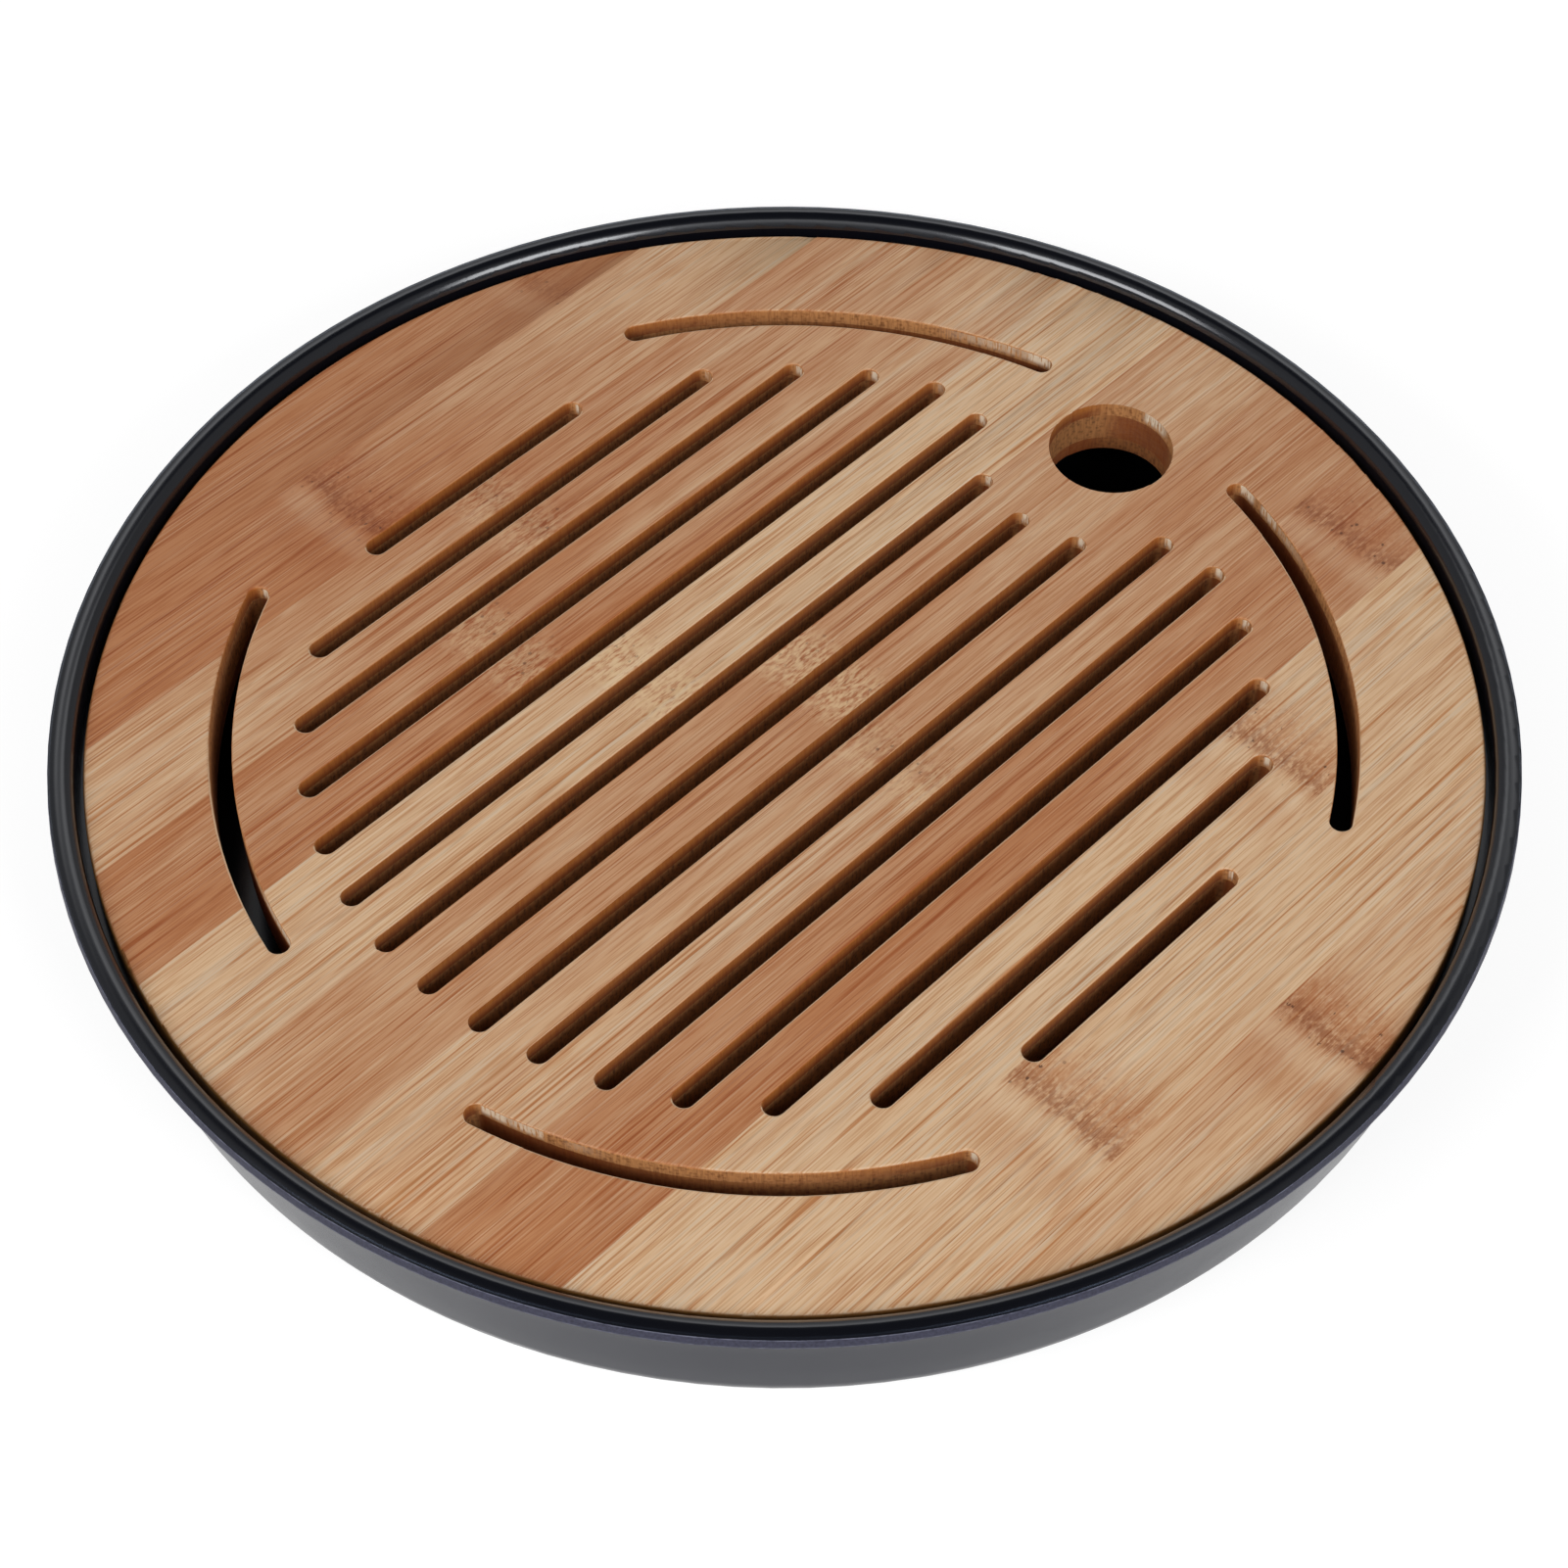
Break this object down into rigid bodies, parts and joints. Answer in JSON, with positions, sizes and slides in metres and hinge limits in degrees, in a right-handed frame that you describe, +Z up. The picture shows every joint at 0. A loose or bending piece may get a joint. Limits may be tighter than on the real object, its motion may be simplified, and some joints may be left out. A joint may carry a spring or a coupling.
{
  "type": "gongfu tea tray",
  "caption": "Round gongfu tea tray: slatted bamboo draining board with a finger hole, lying on the ledge of a black melamine water basin.",
  "frame": {"origin": "on the table under the centre of the tray", "axes": "+Z up, square to the board; the drain slots run along X and the finger hole is on the +X side"},
  "size_m": [0.26, 0.26, 0.0352],
  "materials": {
    "melamine": "moulded melamine, satin black, glossier on the rim",
    "silicone": "matt silicone",
    "face_bamboo": "sanded and oiled bamboo, grain along the slots",
    "core_bamboo": "cut bamboo, grain across the slots",
    "back_bamboo": "sanded bamboo, grain along the slots"
  },
  "bodies": {
    "tray_base": {"basin": "melamine", "foot_pad_1": "silicone", "foot_pad_2": "silicone", "foot_pad_3": "silicone", "foot_pad_4": "silicone"},
    "draining_board": {"face_stave_01": "face_bamboo", "face_stave_02": "face_bamboo", "face_stave_03": "face_bamboo", "face_stave_04": "face_bamboo", "face_stave_05": "face_bamboo", "face_stave_06": "face_bamboo", "face_stave_07": "face_bamboo", "face_stave_08": "face_bamboo", "face_stave_09": "face_bamboo", "face_stave_10": "face_bamboo", "face_stave_11": "face_bamboo", "core_slat_01": "core_bamboo", "core_slat_02": "core_bamboo", "core_slat_03": "core_bamboo", "core_slat_04": "core_bamboo", "core_slat_05": "core_bamboo", "core_slat_06": "core_bamboo", "core_slat_07": "core_bamboo", "core_slat_08": "core_bamboo", "core_slat_09": "core_bamboo", "core_slat_10": "core_bamboo", "core_slat_11": "core_bamboo", "back_stave_01": "back_bamboo", "back_stave_02": "back_bamboo", "back_stave_03": "back_bamboo", "back_stave_04": "back_bamboo", "back_stave_05": "back_bamboo", "back_stave_06": "back_bamboo", "back_stave_07": "back_bamboo", "back_stave_08": "back_bamboo", "back_stave_09": "back_bamboo", "back_stave_10": "back_bamboo", "back_stave_11": "back_bamboo"}
  },
  "joints": [
    {"name": "board_lift", "type": "slide", "parent": "tray_base", "child": "draining_board", "axis": [0, 0, 1], "range_m": [0, 0.06]}
  ]
}
